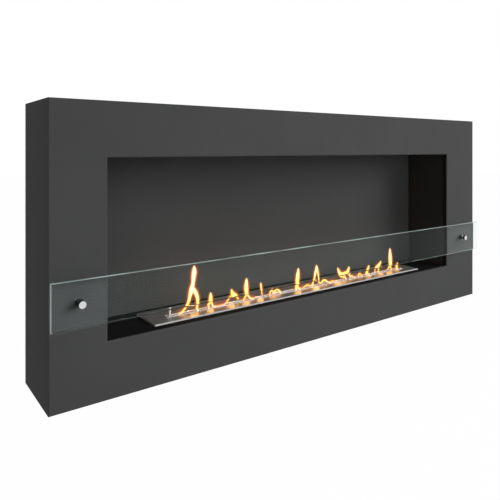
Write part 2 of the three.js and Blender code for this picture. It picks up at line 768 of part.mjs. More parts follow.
function diamondHole(length, width, [x, y]) {
  const hole = new THREE.Path();
  hole.moveTo(x - length / 2, y);
  hole.lineTo(x, y - width / 2);
  hole.lineTo(x + length / 2, y);
  hole.lineTo(x, y + width / 2);
  hole.closePath();
  return hole;
}

// Expanded metal: rows of diamonds that interlock, each row shifted by half a pitch, with a long
// hole at the left end that the damper's knob travels in.
function slotGrille() {
  const length = rimInnerLength - 2 * SEAT;
  const width = rimInnerWidth - 2 * SEAT;
  const knobHoleRadius = KNOB_NECK_RADIUS + RUNNING;
  const knobHoleLength = damperTravel + 2 * knobHoleRadius;
  const knobHole = slotHole(knobHoleLength, 2 * knobHoleRadius, [knobX + damperTravel / 2, 0]);
  const meshLeft = knobX + damperTravel + knobHoleRadius + DIAMOND_STRAND;
  const meshRight = length / 2 - GRILLE_END_TAB;
  const diamondWidth = (2 * (width - 2 * GRILLE_BORDER)) / (DIAMOND_ROWS + 1);
  const diagonal = Math.hypot(DIAMOND_PITCH, diamondWidth);
  const open = 1 - (DIAMOND_STRAND * diagonal) / (DIAMOND_PITCH * diamondWidth);
  const diamonds = [];
  row(DIAMOND_ROWS, diamondWidth / 2).forEach((y, i) => {
    const start = meshLeft + ((i % 2) * DIAMOND_PITCH) / 2;
    const count = Math.floor((meshRight - start) / DIAMOND_PITCH);
    const middle = start + (count * DIAMOND_PITCH) / 2;
    for (const x of row(count, DIAMOND_PITCH)) {
      diamonds.push(diamondHole(open * DIAMOND_PITCH, open * diamondWidth, [middle + x, y]));
    }
  });
  return upFrom(grilleUnder, grilleTop, withHoles(rectangle(length, width), [knobHole, ...diamonds]));
}

const windowCount = Math.floor((slotLength - 2 * KNOB_FROM_SLOT_END) / WINDOW_PITCH);
const windowPlaces = row(windowCount, WINDOW_PITCH);

// The blocks that cut the windows of a flat sheet.
function windowTools(sheetUnder, sheet) {
  return windowPlaces.map((x) => {
    const shape = rectangle(WINDOW_LENGTH, WINDOW_WIDTH, 0, [x, slotY]);
    return upFrom(sheetUnder - PAST, sheetUnder + sheet + PAST, shape);
  });
}

// The channel hangs inside the tank's mouth, and its floor holds the fixed windows.
function damperChannel() {
  const half = channelWidth / 2;
  const path = [[-half, tankTop], [-half, channelUnder], [half, channelUnder], [half, tankTop]];
  const channel = alongX(foldedShape(path, CHANNEL_SHEET, [CHANNEL_BEND, CHANNEL_BEND]), channelLength);
  return cut(channel, windowTools(channelUnder, CHANNEL_SHEET));
}

// A cross wall of the tank, with ports along the floor that let the fuel level out.
function baffle() {
  const width = tankInnerWidth - 2 * SEAT;
  const low = tankFloor + SEAT;
  const high = channelUnder - SEAT;
  const outline = new THREE.Shape();
  outline.moveTo(-width / 2, low);
  for (const y of row(2, width / 2)) {
    outline.lineTo(y - FUEL_PORT_RADIUS, low);
    outline.absarc(y, low, FUEL_PORT_RADIUS, Math.PI, 0, true);
  }
  outline.lineTo(width / 2, low);
  outline.lineTo(width / 2, high);
  outline.lineTo(-width / 2, high);
  outline.closePath();
  return alongX(outline, BAFFLE_THICKNESS);
}

function addBurner() {
  addPiece(burner, 'burner_top_plate', topPlate(), brushedSteel);
  addPiece(burner, 'burner_tank', tank(), brushedSteel);
  addPiece(burner, 'slot_rim', slotRim(), brushedSteel, [0, slotY, 0]);
  addPiece(burner, 'slot_grille', slotGrille(), brushedSteel, [0, slotY, 0]);
  addPiece(burner, 'damper_channel', damperChannel(), brushedSteel);
  studPlaces.forEach(([x, y], i) => {
    const nut = nutAlongY(NUT_FLATS, STUD_RADIUS + BOLT_CLEARANCE, -NUT_HEIGHT / 2, NUT_HEIGHT / 2);
    nut.rotateX(Math.PI / 2);
    addPiece(burner, `plate_nut_${i + 1}`, nut, zincScrew, [x, y, nutTop - NUT_HEIGHT / 2]);
  });

  const cell = tankInnerLength / (BAFFLE_COUNT + 1);
  row(BAFFLE_COUNT, cell).forEach((x, i) => {
    addPiece(burner, `tank_baffle_${i + 1}`, baffle(), brushedSteel, [x, 0, 0]);
  });
  const woolLength = cell - BAFFLE_THICKNESS - 2 * SEAT;
  const woolShape = rectangle(woolLength, tankInnerWidth - 2 * SEAT, WOOL_CORNER);
  row(BAFFLE_COUNT + 1, cell).forEach((x, i) => {
    const wool = upFrom(tankFloor + SEAT, channelUnder - WOOL_HEADROOM, woolShape);
    addPiece(burner, `ceramic_wool_${i + 1}`, wool, ceramicWool, [x, 0, 0]);
  });
}

// The damper stands open at rest and slides half a window pitch to the right to smother the fire.
function addDamper() {
  const outline = rectangle(damperLength, damperWidth, 0, [-damperTravel / 2, 0]);
  const rivetHole = roundHole(KNOB_RIVET_RADIUS + SEAT, [knobX, slotY]);
  const strip = upFrom(damperUnder, damperTop, withHoles(outline, [rivetHole]));
  addPiece(burner, 'damper_slide', cut(strip, windowTools(damperUnder, DAMPER_SHEET)), brushedSteel);

  const gripUnder = knobTop - KNOB_GRIP;
  const knob = turned([
    [0, damperUnder],
    [KNOB_RIVET_RADIUS, damperUnder],
    [KNOB_RIVET_RADIUS, damperTop + SEAT],
    [KNOB_NECK_RADIUS, damperTop + SEAT],
    [KNOB_NECK_RADIUS, gripUnder],
    [KNOB_RADIUS - KNOB_CHAMFER, gripUnder],
    [KNOB_RADIUS, gripUnder + KNOB_CHAMFER],
    [KNOB_RADIUS, knobTop - KNOB_CHAMFER],
    [KNOB_RADIUS - KNOB_CHAMFER, knobTop],
    [0, knobTop],
  ], SMALL_ROUND_STEPS);
  addPiece(burner, 'damper_knob', knob.rotateX(Math.PI / 2), polishedSteel, [knobX, slotY, 0]);
}

addBurner();
addDamper();

// ---------------------------------------------------------------------------------------------
// Glass screen and its holders
// ---------------------------------------------------------------------------------------------

const holderBoreRadius = HOLDER_STUD_RADIUS + BOLT_CLEARANCE;
const bushRadius = holderBoreRadius + HOLDER_BUSH_WALL;

// Places along a holder's axis, from the casing's face and negative towards the room
const glassBack = -GLASS_FROM_FACE;
const glassFront = glassBack - GLASS_THICKNESS;
const capBack = glassFront - HOLDER_WASHER - 2 * SEAT;
const capFront = capBack - HOLDER_CAP_HEIGHT;
const capBoreEnd = capBack - HOLDER_CAP_THREAD;
const nutFront = CASING_SHEET + SEAT;
const nutBack = nutFront + HOLDER_NUT_HEIGHT;

function glassScreen() {
  const holes = holderPlaces.map(([, x]) => roundHole(bushRadius + SEAT, [x, 0]));
  const outline = withHoles(rectangle(CASING_LENGTH, GLASS_HEIGHT), holes);
  return alongY(outline, GLASS_THICKNESS - 2 * GLASS_ARRIS, {
    bevelEnabled: true,
    bevelThickness: GLASS_ARRIS,
    bevelSize: GLASS_ARRIS,
    bevelOffset: -GLASS_ARRIS,
    bevelSegments: 1,
    curveSegments: ROUND_STEPS / 2,
  });
}

function addHolder(side, x) {
  const holder = addGroup(fireplace, [x, faceY, glassZ]);
  const washerRadius = HOLDER_RADIUS + HOLDER_WASHER_OVERSIZE;
  const rearWasherBack = glassBack + SEAT + HOLDER_WASHER;
  const rearWasher = ringAlongY(washerRadius, holderBoreRadius, glassBack + SEAT, rearWasherBack);
  const frontWasher = ringAlongY(washerRadius, holderBoreRadius, capBack + SEAT, glassFront - SEAT);
  const barrel = ringAlongY(HOLDER_RADIUS, holderBoreRadius, rearWasherBack + SEAT, -SEAT);
  const bush = ringAlongY(bushRadius, holderBoreRadius, glassFront, glassBack);
  const stud = barAlongY(HOLDER_STUD_RADIUS, capBoreEnd + SEAT, nutBack + HOLDER_STUD_TAIL);
  const nut = nutAlongY(HOLDER_NUT_FLATS, holderBoreRadius, nutFront, nutBack);
  const cap = turned([
    [0, capFront],
    [HOLDER_RADIUS - HOLDER_CAP_CHAMFER, capFront],
    [HOLDER_RADIUS, capFront + HOLDER_CAP_CHAMFER],
    [HOLDER_RADIUS, capBack],
    [holderBoreRadius, capBack],
    [holderBoreRadius, capBoreEnd],
    [0, capBoreEnd],
  ]);
  addPiece(holder, `holder_washer_rear_${side}`, rearWasher, blackRubber);
  addPiece(holder, `holder_washer_front_${side}`, frontWasher, blackRubber);
  addPiece(holder, `holder_barrel_${side}`, barrel, polishedSteel);
  addPiece(holder, `holder_bush_${side}`, bush, blackRubber);
  addPiece(holder, `holder_stud_${side}`, stud, zincScrew);
  addPiece(holder, `holder_nut_${side}`, nut, zincScrew);
  addPiece(holder, `holder_cap_${side}`, cap, polishedSteel);
}

const glassY = faceY + (glassFront + glassBack) / 2;
addPiece(fireplace, 'glass_screen', glassScreen(), clearGlass, [0, glassY, glassZ]);
for (const [side, x] of holderPlaces) addHolder(side, x);

export default fireplace;
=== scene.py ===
"""The looks of a wall-hung bioethanol fireplace: its finishes, fine surfaces and flames.

Lengths are metres, +X runs to the right, +Y towards the wall and +Z up.
"""

import json
import math

import bmesh
import bpy
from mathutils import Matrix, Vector

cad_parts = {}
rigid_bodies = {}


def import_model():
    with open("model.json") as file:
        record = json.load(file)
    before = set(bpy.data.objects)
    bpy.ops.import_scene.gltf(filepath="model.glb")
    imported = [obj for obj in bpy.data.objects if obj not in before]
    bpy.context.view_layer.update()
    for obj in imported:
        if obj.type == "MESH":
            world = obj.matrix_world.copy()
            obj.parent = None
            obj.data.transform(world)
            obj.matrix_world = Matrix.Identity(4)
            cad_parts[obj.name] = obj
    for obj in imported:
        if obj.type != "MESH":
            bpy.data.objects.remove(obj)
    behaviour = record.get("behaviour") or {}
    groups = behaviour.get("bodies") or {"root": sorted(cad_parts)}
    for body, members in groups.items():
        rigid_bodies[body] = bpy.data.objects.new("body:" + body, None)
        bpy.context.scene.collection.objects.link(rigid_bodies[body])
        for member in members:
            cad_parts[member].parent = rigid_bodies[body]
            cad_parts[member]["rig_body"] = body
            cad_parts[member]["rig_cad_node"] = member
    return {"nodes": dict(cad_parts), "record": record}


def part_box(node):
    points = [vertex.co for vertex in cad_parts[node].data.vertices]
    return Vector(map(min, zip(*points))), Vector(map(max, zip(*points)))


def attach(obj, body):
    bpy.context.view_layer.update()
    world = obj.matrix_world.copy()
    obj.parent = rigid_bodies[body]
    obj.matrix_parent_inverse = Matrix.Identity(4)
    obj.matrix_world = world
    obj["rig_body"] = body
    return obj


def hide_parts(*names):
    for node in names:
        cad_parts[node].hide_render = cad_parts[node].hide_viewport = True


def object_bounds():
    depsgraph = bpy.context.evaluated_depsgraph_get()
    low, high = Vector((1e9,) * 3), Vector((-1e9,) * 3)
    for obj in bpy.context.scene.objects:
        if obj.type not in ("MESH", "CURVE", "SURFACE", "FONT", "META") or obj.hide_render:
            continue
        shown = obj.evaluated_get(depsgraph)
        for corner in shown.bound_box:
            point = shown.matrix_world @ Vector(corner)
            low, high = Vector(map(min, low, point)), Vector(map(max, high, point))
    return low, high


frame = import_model()
cad_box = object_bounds()
nodes = frame["nodes"]
SLOT_OF = {row["node"]: row["material_slot"] for row in frame["record"]["subparts"]}

MM = 0.001
SIDES = ("left", "right")

# ---------------------------------------------------------------------------------------------
# Camera, fitted to the casing's edges in the photograph
# ---------------------------------------------------------------------------------------------

IMAGE_PX = 500
FOCAL_PX = 515.55
PRINCIPAL_PX = (233.29, 149.73)
CAMERA_TURN = math.radians(35.094)
CAMERA_PLACE = (-0.8263, -0.9731, 0.1678)
SENSOR = 36.0


def add_camera():
    bpy.ops.object.camera_add(location=CAMERA_PLACE, rotation=(math.pi / 2, 0, -CAMERA_TURN))
    camera = bpy.context.object
    camera.name = "photo_camera"
    camera.data.sensor_width = SENSOR
    camera.data.lens = FOCAL_PX * SENSOR / IMAGE_PX
    camera.data.shift_x = 0.5 - PRINCIPAL_PX[0] / IMAGE_PX
    camera.data.shift_y = PRINCIPAL_PX[1] / IMAGE_PX - 0.5
    camera.data.clip_start = 0.01
    bpy.context.scene.camera = camera


# ---------------------------------------------------------------------------------------------
# Modelling helpers
# ---------------------------------------------------------------------------------------------

SAME_POINT = 0.005 * MM
SAME_FACE = math.radians(0.5)


def deselect_all():
    bpy.ops.object.select_all(action="DESELECT")


def select_only(piece):
    deselect_all()
    piece.select_set(True)
    bpy.context.view_layer.objects.active = piece


def take(name):
    """The primitive just added, named, with its place moved into its mesh."""
    piece = bpy.context.object
    piece.name = name
    piece.data.name = name
    select_only(piece)
    bpy.ops.object.transform_apply(location=True, rotation=True, scale=True)
    return piece


def start_edit(piece):
    """Opens the piece for work on its faces, with none of them picked."""
    select_only(piece)
    bpy.ops.object.mode_set(mode="EDIT")
    bpy.ops.mesh.select_mode(type="FACE")
    bpy.ops.mesh.select_all(action="DESELECT")


def end_edit():
    bpy.ops.object.mode_set(mode="OBJECT")


def pick_faces(piece, wanted):
    """Selects the faces for which `wanted` holds, and no others."""
    shape = bmesh.from_edit_mesh(piece.data)
    for face in shape.faces:
        face.select_set(wanted(face))
    shape.select_flush_mode()
    bmesh.update_edit_mesh(piece.data)


def facing(direction, near=0.99):
    """A test for faces that look along the direction."""
    return lambda face: face.normal.dot(Vector(direction)) > near


def apply_modifier(piece, kind, **settings):
    select_only(piece)
    modifier = piece.modifiers.new(kind.lower(), kind)
    for setting, value in settings.items():
        setattr(modifier, setting, value)
    bpy.ops.object.modifier_apply(modifier=modifier.name)


def soften_edges(piece, width, segments=2, sharp=math.radians(35)):
    apply_modifier(piece, "BEVEL", width=width, segments=segments, limit_method="ANGLE", angle_limit=sharp)


def smooth(piece, sharp=math.radians(30)):
    select_only(piece)
    bpy.ops.object.shade_smooth_by_angle(angle=sharp)
    apply_modifier(piece, "WEIGHTED_NORMAL", keep_sharp=True)


def paint(piece, *materials):
    """Gives the piece these materials, its faces numbered by their order."""
    piece.data.materials.clear()
    for material in materials:
        piece.data.materials.append(material)


def stand_for(piece, node, *materials):
    """The piece takes the place of a solid, on the same body and with the materials given."""
    paint(piece, *materials)
    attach(piece, nodes[node]["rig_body"])
    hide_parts(node)
    return piece


def merged_copy(node, name):
    """A copy of a solid whose triangles are joined into one skin of whole faces."""
    piece = nodes[node].copy()
    piece.data = nodes[node].data.copy()
    piece.name = name
    piece.data.name = name
    piece.parent = None
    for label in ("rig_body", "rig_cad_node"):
        del piece[label]
    bpy.context.scene.collection.objects.link(piece)
    start_edit(piece)
    bpy.ops.mesh.select_all(action="SELECT")
    bpy.ops.mesh.remove_doubles(threshold=SAME_POINT)
    bpy.ops.mesh.dissolve_limited(angle_limit=SAME_FACE)
    end_edit()
    return piece


# ---------------------------------------------------------------------------------------------
# Material helpers
# ---------------------------------------------------------------------------------------------

WHITE = (1, 1, 1, 1)


def combine(tree, operation, first, second):
    """Two values, each a node's output or a number, taken together in a math node."""
    made = tree.nodes.new("ShaderNodeMath")
    made.operation = operation
    for socket, value in zip(made.inputs, (first, second)):
        if isinstance(value, bpy.types.NodeSocket):
            tree.links.new(value, socket)
        else:
            socket.default_value = value
    return made.outputs["Value"]


class Finish:
    """A Principled material whose patterns follow the piece in metres."""

    def __init__(self, name, colour, roughness, metallic=0.0, specular=0.5):
        self.material = bpy.data.materials.new(name)
        self.material.use_nodes = True
        self.tree = self.material.node_tree
        self.shader = self.tree.nodes["Principled BSDF"]
        self.colour = colour
        self.set("Base Color", (*colour, 1))
        self.set("Roughness", roughness)
        self.set("Metallic", metallic)
        self.set("Specular IOR Level", specular)

    def set(self, socket, value):
        self.shader.inputs[socket].default_value = value

    def link(self, output, target):
        self.tree.links.new(output, target)

    def node(self, kind, **settings):
        made = self.tree.nodes.new(kind)
        for setting, value in settings.items():
            if setting in made.inputs:
                made.inputs[setting].default_value = value
            else:
                setattr(made, setting, value)
        return made

    def place(self, stretch=(1, 1, 1)):
        """Object coordinates, stretched along the axes."""
        coordinates = self.node("ShaderNodeTexCoord")
        mapping = self.node("ShaderNodeMapping", Scale=stretch)
        self.link(coordinates.outputs["Object"], mapping.inputs["Vector"])
        return mapping.outputs["Vector"]

    def noise(self, scale, detail=4, stretch=(1, 1, 1), roughness=0.5):
        pattern = self.node("ShaderNodeTexNoise", Scale=scale, Detail=detail, Roughness=roughness)
        self.link(self.place(stretch), pattern.inputs["Vector"])
        return pattern.outputs["Fac"]

    def between(self, pattern, low, high, start=0.3, end=0.7):
        """The pattern carried to the range from low to high."""
        spread = self.node("ShaderNodeMapRange")
        for socket, value in (("From Min", start), ("From Max", end), ("To Min", low), ("To Max", high)):
            spread.inputs[socket].default_value = value
        self.link(pattern, spread.inputs["Value"])
        return spread.outputs["Result"]

    def vary_colour(self, pattern, darker, lighter, start=0.3, end=0.7):
        """The written colour from `darker` times to `lighter` times its value."""
        ramp = self.node("ShaderNodeValToRGB")
        for stop, place, share in zip(ramp.color_ramp.elements, (start, end), (darker, lighter)):
            stop.position = place
            stop.color = (*(share * channel for channel in self.colour), 1)
        self.link(pattern, ramp.inputs["Fac"])
        self.link(ramp.outputs["Color"], self.shader.inputs["Base Color"])

    def vary_roughness(self, pattern, low, high):
        self.link(self.between(pattern, low, high), self.shader.inputs["Roughness"])

    def raise_surface(self, pattern, height, strength=1.0):
        bump = self.node("ShaderNodeBump", Strength=strength, Distance=height)
        self.link(pattern, bump.inputs["Height"])
        self.link(bump.outputs["Normal"], self.shader.inputs["Normal"])


# ---------------------------------------------------------------------------------------------
# Finishes
# ---------------------------------------------------------------------------------------------

def powder_coat(name, colour, roughness, specular):
    """A matt coat with the fine orange peel of baked powder and a faint unevenness."""
    finish = Finish(name, colour, roughness, specular=specular)
    finish.vary_colour(finish.noise(7, 3), 0.96, 1.04)
    peel = finish.noise(1100, 2)
    finish.vary_roughness(peel, roughness - 0.05, roughness + 0.05)
    finish.raise_surface(peel, 0.03 * MM, 0.5)
    return finish.material


def brushed_steel(name, colour, low, high, metallic=1):
    """Steel brushed along X, with fine streaks in its gloss and its surface."""
    finish = Finish(name, colour, low, metallic=metallic)
    streaks = finish.noise(1, 5, stretch=(14, 1600, 1600), roughness=0.65)
    finish.vary_colour(streaks, 0.86, 1.1)
    finish.vary_roughness(finish.noise(1, 4, stretch=(5, 500, 500)), low, high)
    finish.raise_surface(streaks, 0.012 * MM, 0.6)
    return finish.material


def polished_steel(name, colour):
    finish = Finish(name, colour, 0.1, metallic=1)
    finish.vary_colour(finish.noise(300, 3), 0.96, 1.0)
    finish.vary_roughness(finish.noise(900, 4), 0.07, 0.16)
    return finish.material


def zinc_plate():
    finish = Finish("zinc_plate", (0.58, 0.59, 0.6), 0.35, metallic=1)
    finish.vary_colour(finish.noise(500, 4), 0.85, 1.08)
    finish.vary_roughness(finish.noise(800, 3), 0.28, 0.45)
    return finish.material


def galvanised_sheet():
    """Zinc-coated sheet with the grain of its crystals."""
    finish = Finish("galvanised_sheet", (0.5, 0.51, 0.52), 0.42, metallic=0.85)
    crystals = finish.node("ShaderNodeTexVoronoi", Scale=85)
    finish.link(finish.place(), crystals.inputs["Vector"])
    tone = finish.node("ShaderNodeSeparateColor")
    finish.link(crystals.outputs["Color"], tone.inputs["Color"])
    finish.vary_colour(tone.outputs["Red"], 0.84, 1.08, 0, 1)
    finish.link(finish.between(tone.outputs["Green"], 0.36, 0.5, 0, 1), finish.shader.inputs["Roughness"])
    return finish.material


def black_rubber():
    finish = Finish("black_rubber", (0.012, 0.012, 0.012), 0.7, specular=0.3)
    grain = finish.noise(2500, 3)
    finish.vary_colour(grain, 0.8, 1.2)
    finish.raise_surface(grain, 0.03 * MM, 0.4)
    return finish.material


def fibre(name, colour, scale):
    """Felted fibre, pale and matt, with tangled strands."""
    finish = Finish(name, colour, 0.95, specular=0.1)
    strands = finish.noise(scale, 8, stretch=(1, 1, 4), roughness=0.7)
    finish.vary_colour(strands, 0.82, 1.04)
    finish.raise_surface(strands, 0.5 * MM, 0.8)
    return finish.material


def see_through_in_shadow(finish, tint):
    """Lamps shine through the sheet, so that it throws no dark shadow."""
    path = finish.node("ShaderNodeLightPath")
    clear = finish.node("ShaderNodeBsdfTransparent", Color=tint)
    mix = finish.node("ShaderNodeMixShader")
    finish.link(path.outputs["Is Shadow Ray"], mix.inputs["Fac"])
    finish.link(finish.shader.outputs["BSDF"], mix.inputs[1])
    finish.link(clear.outputs["BSDF"], mix.inputs[2])
    finish.link(mix.outputs["Shader"], finish.tree.nodes["Material Output"].inputs["Surface"])


def clear_glass():
    """Clear toughened glass, faintly green."""
    finish = Finish("clear_glass", (0.92, 0.965, 0.955), 0.0)
    finish.set("Specular Tint", (0.65, 1.0, 0.94, 1))
    finish.set("Transmission Weight", 1.0)
    finish.set("IOR", 1.13)
    see_through_in_shadow(finish, (0.97, 0.99, 0.985, 1))
    return finish.material


def glass_edge_highlight():
    """The ground edge of the glass, painted pale as a highlight for the light it catches, lighter and
    darker in patches.
    """
    finish = Finish("glass_edge_highlight", (0.55, 0.66, 0.64), 0.25, specular=0.5)
    finish.vary_colour(finish.noise(14, 4), 0.6, 1.45)
    finish.raise_surface(finish.noise(1500, 2), 0.02 * MM, 0.4)
    return finish.material


# The colours of a flame, from its feet up to its tallest tongue
HEART_COLOURS = (
    (0, (1, 0.48, 0.28)),
    (0.08, (1, 0.46, 0.05)),
    (0.25, (1, 0.58, 0.1)),
    (0.5, (1, 0.54, 0.24)),
    (1, (1, 0.5, 0.28)),
)
CORE_COLOURS = (
    (0, (1, 0.68, 0.46)),
    (0.08, (1, 0.64, 0.05)),
    (0.25, (1, 0.86, 0.32)),
    (0.5, (1, 0.86, 0.55)),
    (1, (1, 0.84, 0.6)),
)
FLAME_HEIGHT = 90 * MM
SOOT = (0.02, 0.015, 0.01)  # what a flame gives back of other light


def flame_colours(finish, colours):
    """A ramp of colours up a flame, its height a little uneven."""
    coordinates = finish.node("ShaderNodeTexCoord")
    axes = finish.node("ShaderNodeSeparateXYZ")
    finish.link(coordinates.outputs["Object"], axes.inputs["Vector"])
    straight = finish.between(axes.outputs["Z"], 0, 1, SLOT_TOP, SLOT_TOP + FLAME_HEIGHT)
    uneven = finish.between(finish.noise(120, 3), -0.12, 0.12)
    ramp = finish.node("ShaderNodeValToRGB")
    stops = ramp.color_ramp.elements
    for stop, (place, colour) in zip(stops, (colours[0], colours[-1])):
        stop.position = place
        stop.color = (*colour, 1)
    for place, colour in colours[1:-1]:
        stops.new(place).color = (*colour, 1)
    finish.link(combine(finish.tree, "ADD", straight, uneven), ramp.inputs["Fac"])
    return ramp.outputs["Color"]


def flame_heart():
    """The burning heart of a flame: pink at its feet and its tip, yellow between them."""
    finish = Finish("flame_heart", SOOT, 0.9, specular=0.0)
    finish.set("Alpha", 0.35)
    finish.set("Emission Strength", 2)
    finish.link(flame_colours(finish, HEART_COLOURS), finish.shader.inputs["Emission Color"])
    return finish.material


def flame_core():
    """The nearly white middle of a flame."""
    finish = Finish("flame_core", SOOT, 0.9, specular=0.0)
    finish.set("Emission Strength", 2.8)
    finish.link(flame_colours(finish, CORE_COLOURS), finish.shader.inputs["Emission Color"])
    return finish.material


def flame_glow(name, colour, strength, thin, thick):
    """A thin glow round a flame, denser in some places than in others."""
    finish = Finish(name, (0.02, 0.01, 0.005), 0.9, specular=0.0)
    finish.set("Emission Color", (*colour, 1))
    finish.set("Emission Strength", strength)
    finish.link(finish.between(finish.noise(90, 3), thin, thick), finish.shader.inputs["Alpha"])
    return finish.material


# ---------------------------------------------------------------------------------------------
# Places taken from the solids
# ---------------------------------------------------------------------------------------------

plate_low, plate_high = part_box("burner_top_plate")
rim_low, rim_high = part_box("slot_rim")
SLOT_TOP = plate_high.z
slot_middle = Vector(((rim_low.x + rim_high.x) / 2, (rim_low.y + rim_high.y) / 2, SLOT_TOP))

coat = powder_coat("anthracite_coat", (0.0665, 0.067, 0.0675), 0.62, 0.03)
back_coat = powder_coat("firebox_back_coat", (0.056, 0.0565, 0.057), 0.75, 0.04)
# Painted shade: the firebox coat is written near-black and the side walls' coat dark grey. Both are darker
# copies of the back wall's coat and stand for the shade on the firebox floor, the other firebox parts, the
# side walls and the opening's lining.
firebox_coat = powder_coat("firebox_coat", (0.012, 0.012, 0.012), 0.8, 0.02)
shaded_wall_coat = powder_coat("firebox_wall_painted_shade", (0.03, 0.03, 0.03), 0.8, 0.02)
plate_steel = brushed_steel("plate_steel", (0.47, 0.46, 0.455), 0.3, 0.42, 0.85)
cut_steel = brushed_steel("cut_steel", (0.92, 0.91, 0.9), 0.35, 0.45, 0.35)
rim_steel = brushed_steel("rim_steel", (0.72, 0.71, 0.7), 0.25, 0.35, 0.7)
tank_steel = brushed_steel("tank_steel", (0.52, 0.51, 0.5), 0.3, 0.42)
bright_steel = polished_steel("polished_steel", (0.68, 0.685, 0.69))
# Painted shade: a dark copy of the polished steel, for the caps' sides and the barrels.
painted_shade_steel = polished_steel("steel_painted_shade", (0.07, 0.073, 0.075))
zinc = zinc_plate()
galvanised = galvanised_sheet()
rubber = black_rubber()
wool = fibre("ceramic_wool", (0.82, 0.8, 0.75), 260)
board = fibre("insulation_board", (0.66, 0.62, 0.54), 160)
glass = clear_glass()
painted_edge_highlight = glass_edge_highlight()
core = flame_core()
heart = flame_heart()
glow = flame_glow("flame_glow", (1, 0.25, 0.045), 1, 0.2, 0.34)
halo = flame_glow("flame_halo", (1, 0.2, 0.04), 0.8, 0.07, 0.14)

FINISH_OF_SLOT = {
    "casing_coat": coat,
    "firebox_coat": firebox_coat,
    "galvanised_steel": galvanised,
    "burner_steel": tank_steel,
    "polished_steel": bright_steel,
    "zinc_steel": zinc,
    "screen_glass": glass,
    "black_rubber": rubber,
    "ceramic_fibre": wool,
    "insulation_board": board,
}


def paint_solids():
    for node, slot in SLOT_OF.items():
        paint(nodes[node], FINISH_OF_SLOT[slot])
    paint(nodes["firebox_back"], back_coat)
    # Painted shade: the side walls take the darker copy of the back wall's coat.
    for side in SIDES:
        paint(nodes[f"firebox_{side}_wall"], shaded_wall_coat)


# ---------------------------------------------------------------------------------------------
# Sheet metal
# ---------------------------------------------------------------------------------------------

OPENING_MARGIN = 3 * MM
LEVEL = 0.95  # the least upward or downward lean of a face that counts as level
UPRIGHT_LEAN = 0.5  # the most that a face of the opening's lining looks to the front or the rear

# Each solid with the width of its broken edges, or none, and its two materials: that of its level faces
# and that of the rest, or on the front that of the coat and that of the opening's lining, which is
# near-black painted shade
SKINS = {
    "front_frame": (0, coat, firebox_coat),
    "rear_cover": (0.3 * MM, galvanised, galvanised),
    "hanger_plate_left": (0.3 * MM, galvanised, galvanised),
    "hanger_plate_right": (0.3 * MM, galvanised, galvanised),
    "burner_top_plate": (0.4 * MM, plate_steel, cut_steel),
    "slot_rim": (0.2 * MM, rim_steel, rim_steel),
    "slot_grille": (0.12 * MM, rim_steel, rim_steel),
    "burner_tank": (0.4 * MM, tank_steel, tank_steel),
    "damper_slide": (0.15 * MM, tank_steel, tank_steel),
}


def paint_opening_shade(frame_skin):
    """Painted shade: the faces lining the opening take the near-black firebox coat, which stands for the
    shade inside the opening.
    """
    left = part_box("firebox_left_wall")[0].x - OPENING_MARGIN
    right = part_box("firebox_right_wall")[1].x + OPENING_MARGIN
    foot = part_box("firebox_floor")[0].z - OPENING_MARGIN
    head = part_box("firebox_ceiling")[1].z + OPENING_MARGIN
    for face in frame_skin.data.polygons:
        middle = face.center
        inside = left < middle.x < right and foot < middle.z < head
        face.material_index = 1 if inside and abs(face.normal.y) < UPRIGHT_LEAN else 0


def dress_sheet_metal():
    for node, (broken_edge, face_finish, edge_finish) in SKINS.items():
        piece = merged_copy(node, node + "_skin")
        if broken_edge:
            soften_edges(piece, broken_edge)
        smooth(piece)
        stand_for(piece, node, face_finish, edge_finish)
        for face in piece.data.polygons:
            face.material_index = 0 if abs(face.normal.z) > LEVEL else 1
        if node == "front_frame":
            paint_opening_shade(piece)


# ---------------------------------------------------------------------------------------------
# Glass screen
# ---------------------------------------------------------------------------------------------

FOOT_HIGHLIGHT_FROM = 0.3  # from here to its right end the bottom edge carries a painted highlight


def dress_glass():
    """The sheet, clear but for the edges painted pale as a highlight: top, left and the foot's right part.
    """
    piece = merged_copy("glass_screen", "glass_sheet")
    start_edit(piece)
    pick_faces(piece, facing((0, 0, -1)))
    bpy.ops.mesh.bisect(plane_co=(FOOT_HIGHLIGHT_FROM, 0, 0), plane_no=(1, 0, 0))
    end_edit()
    smooth(piece)
    stand_for(piece, "glass_screen", glass, painted_edge_highlight)
    # Painted highlight: the top, left and right part of the foot take the pale edge material.
    for face in piece.data.polygons:
        on_top = face.normal.z > 0.5
        on_left = face.normal.x < -0.5
        below_right = face.normal.z < -0.5 and face.center.x > FOOT_HIGHLIGHT_FROM
        face.material_index = 1 if on_top or on_left or below_right else 0


# ---------------------------------------------------------------------------------------------
# Turned pieces
# ---------------------------------------------------------------------------------------------

ROUND = 64
TOWARDS_WALL = (math.pi / 2, 0, 0)
BORE_RADIUS = 3.3 * MM  # of all that is threaded on the stud
RUBBER_EDGE = 0.2 * MM
BUSH_EDGE = 0.1 * MM
BARREL_EDGE = 0.3 * MM
ROUNDED_EDGE = 0.5 * MM
ROUNDED_STEPS = 4
ROUNDED_FROM = math.radians(60)  # the least turn between two faces whose edge is rounded
CAP_BORE_DEPTH = 3.2 * MM
CAP_RIM = 1.3 * MM
CAP_DISH_SLOPE = 0.5 * MM
CAP_DISH_DEPTH = 0.2 * MM


def round_bar(name, low, high, radius, turn=TOWARDS_WALL):
    depth = high.y - low.y if turn == TOWARDS_WALL else high.z - low.z
    bpy.ops.mesh.primitive_cylinder_add(
        vertices=ROUND, radius=radius, depth=depth, location=(low + high) / 2, rotation=turn)
    return take(name)


def ring(name, node, material, broken_edge):
    """A washer, barrel or bush: a bar with a bore right through it."""
    low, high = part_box(node)
    radius = (high.x - low.x) / 2
    piece = round_bar(name, low, high, radius)
    start_edit(piece)
    pick_faces(piece, lambda face: abs(face.normal.y) > 0.99)
    bpy.ops.mesh.inset(thickness=radius - BORE_RADIUS)
    bpy.ops.mesh.bridge_edge_loops()
    end_edit()
    soften_edges(piece, broken_edge)
    smooth(piece)
    return stand_for(piece, node, material)


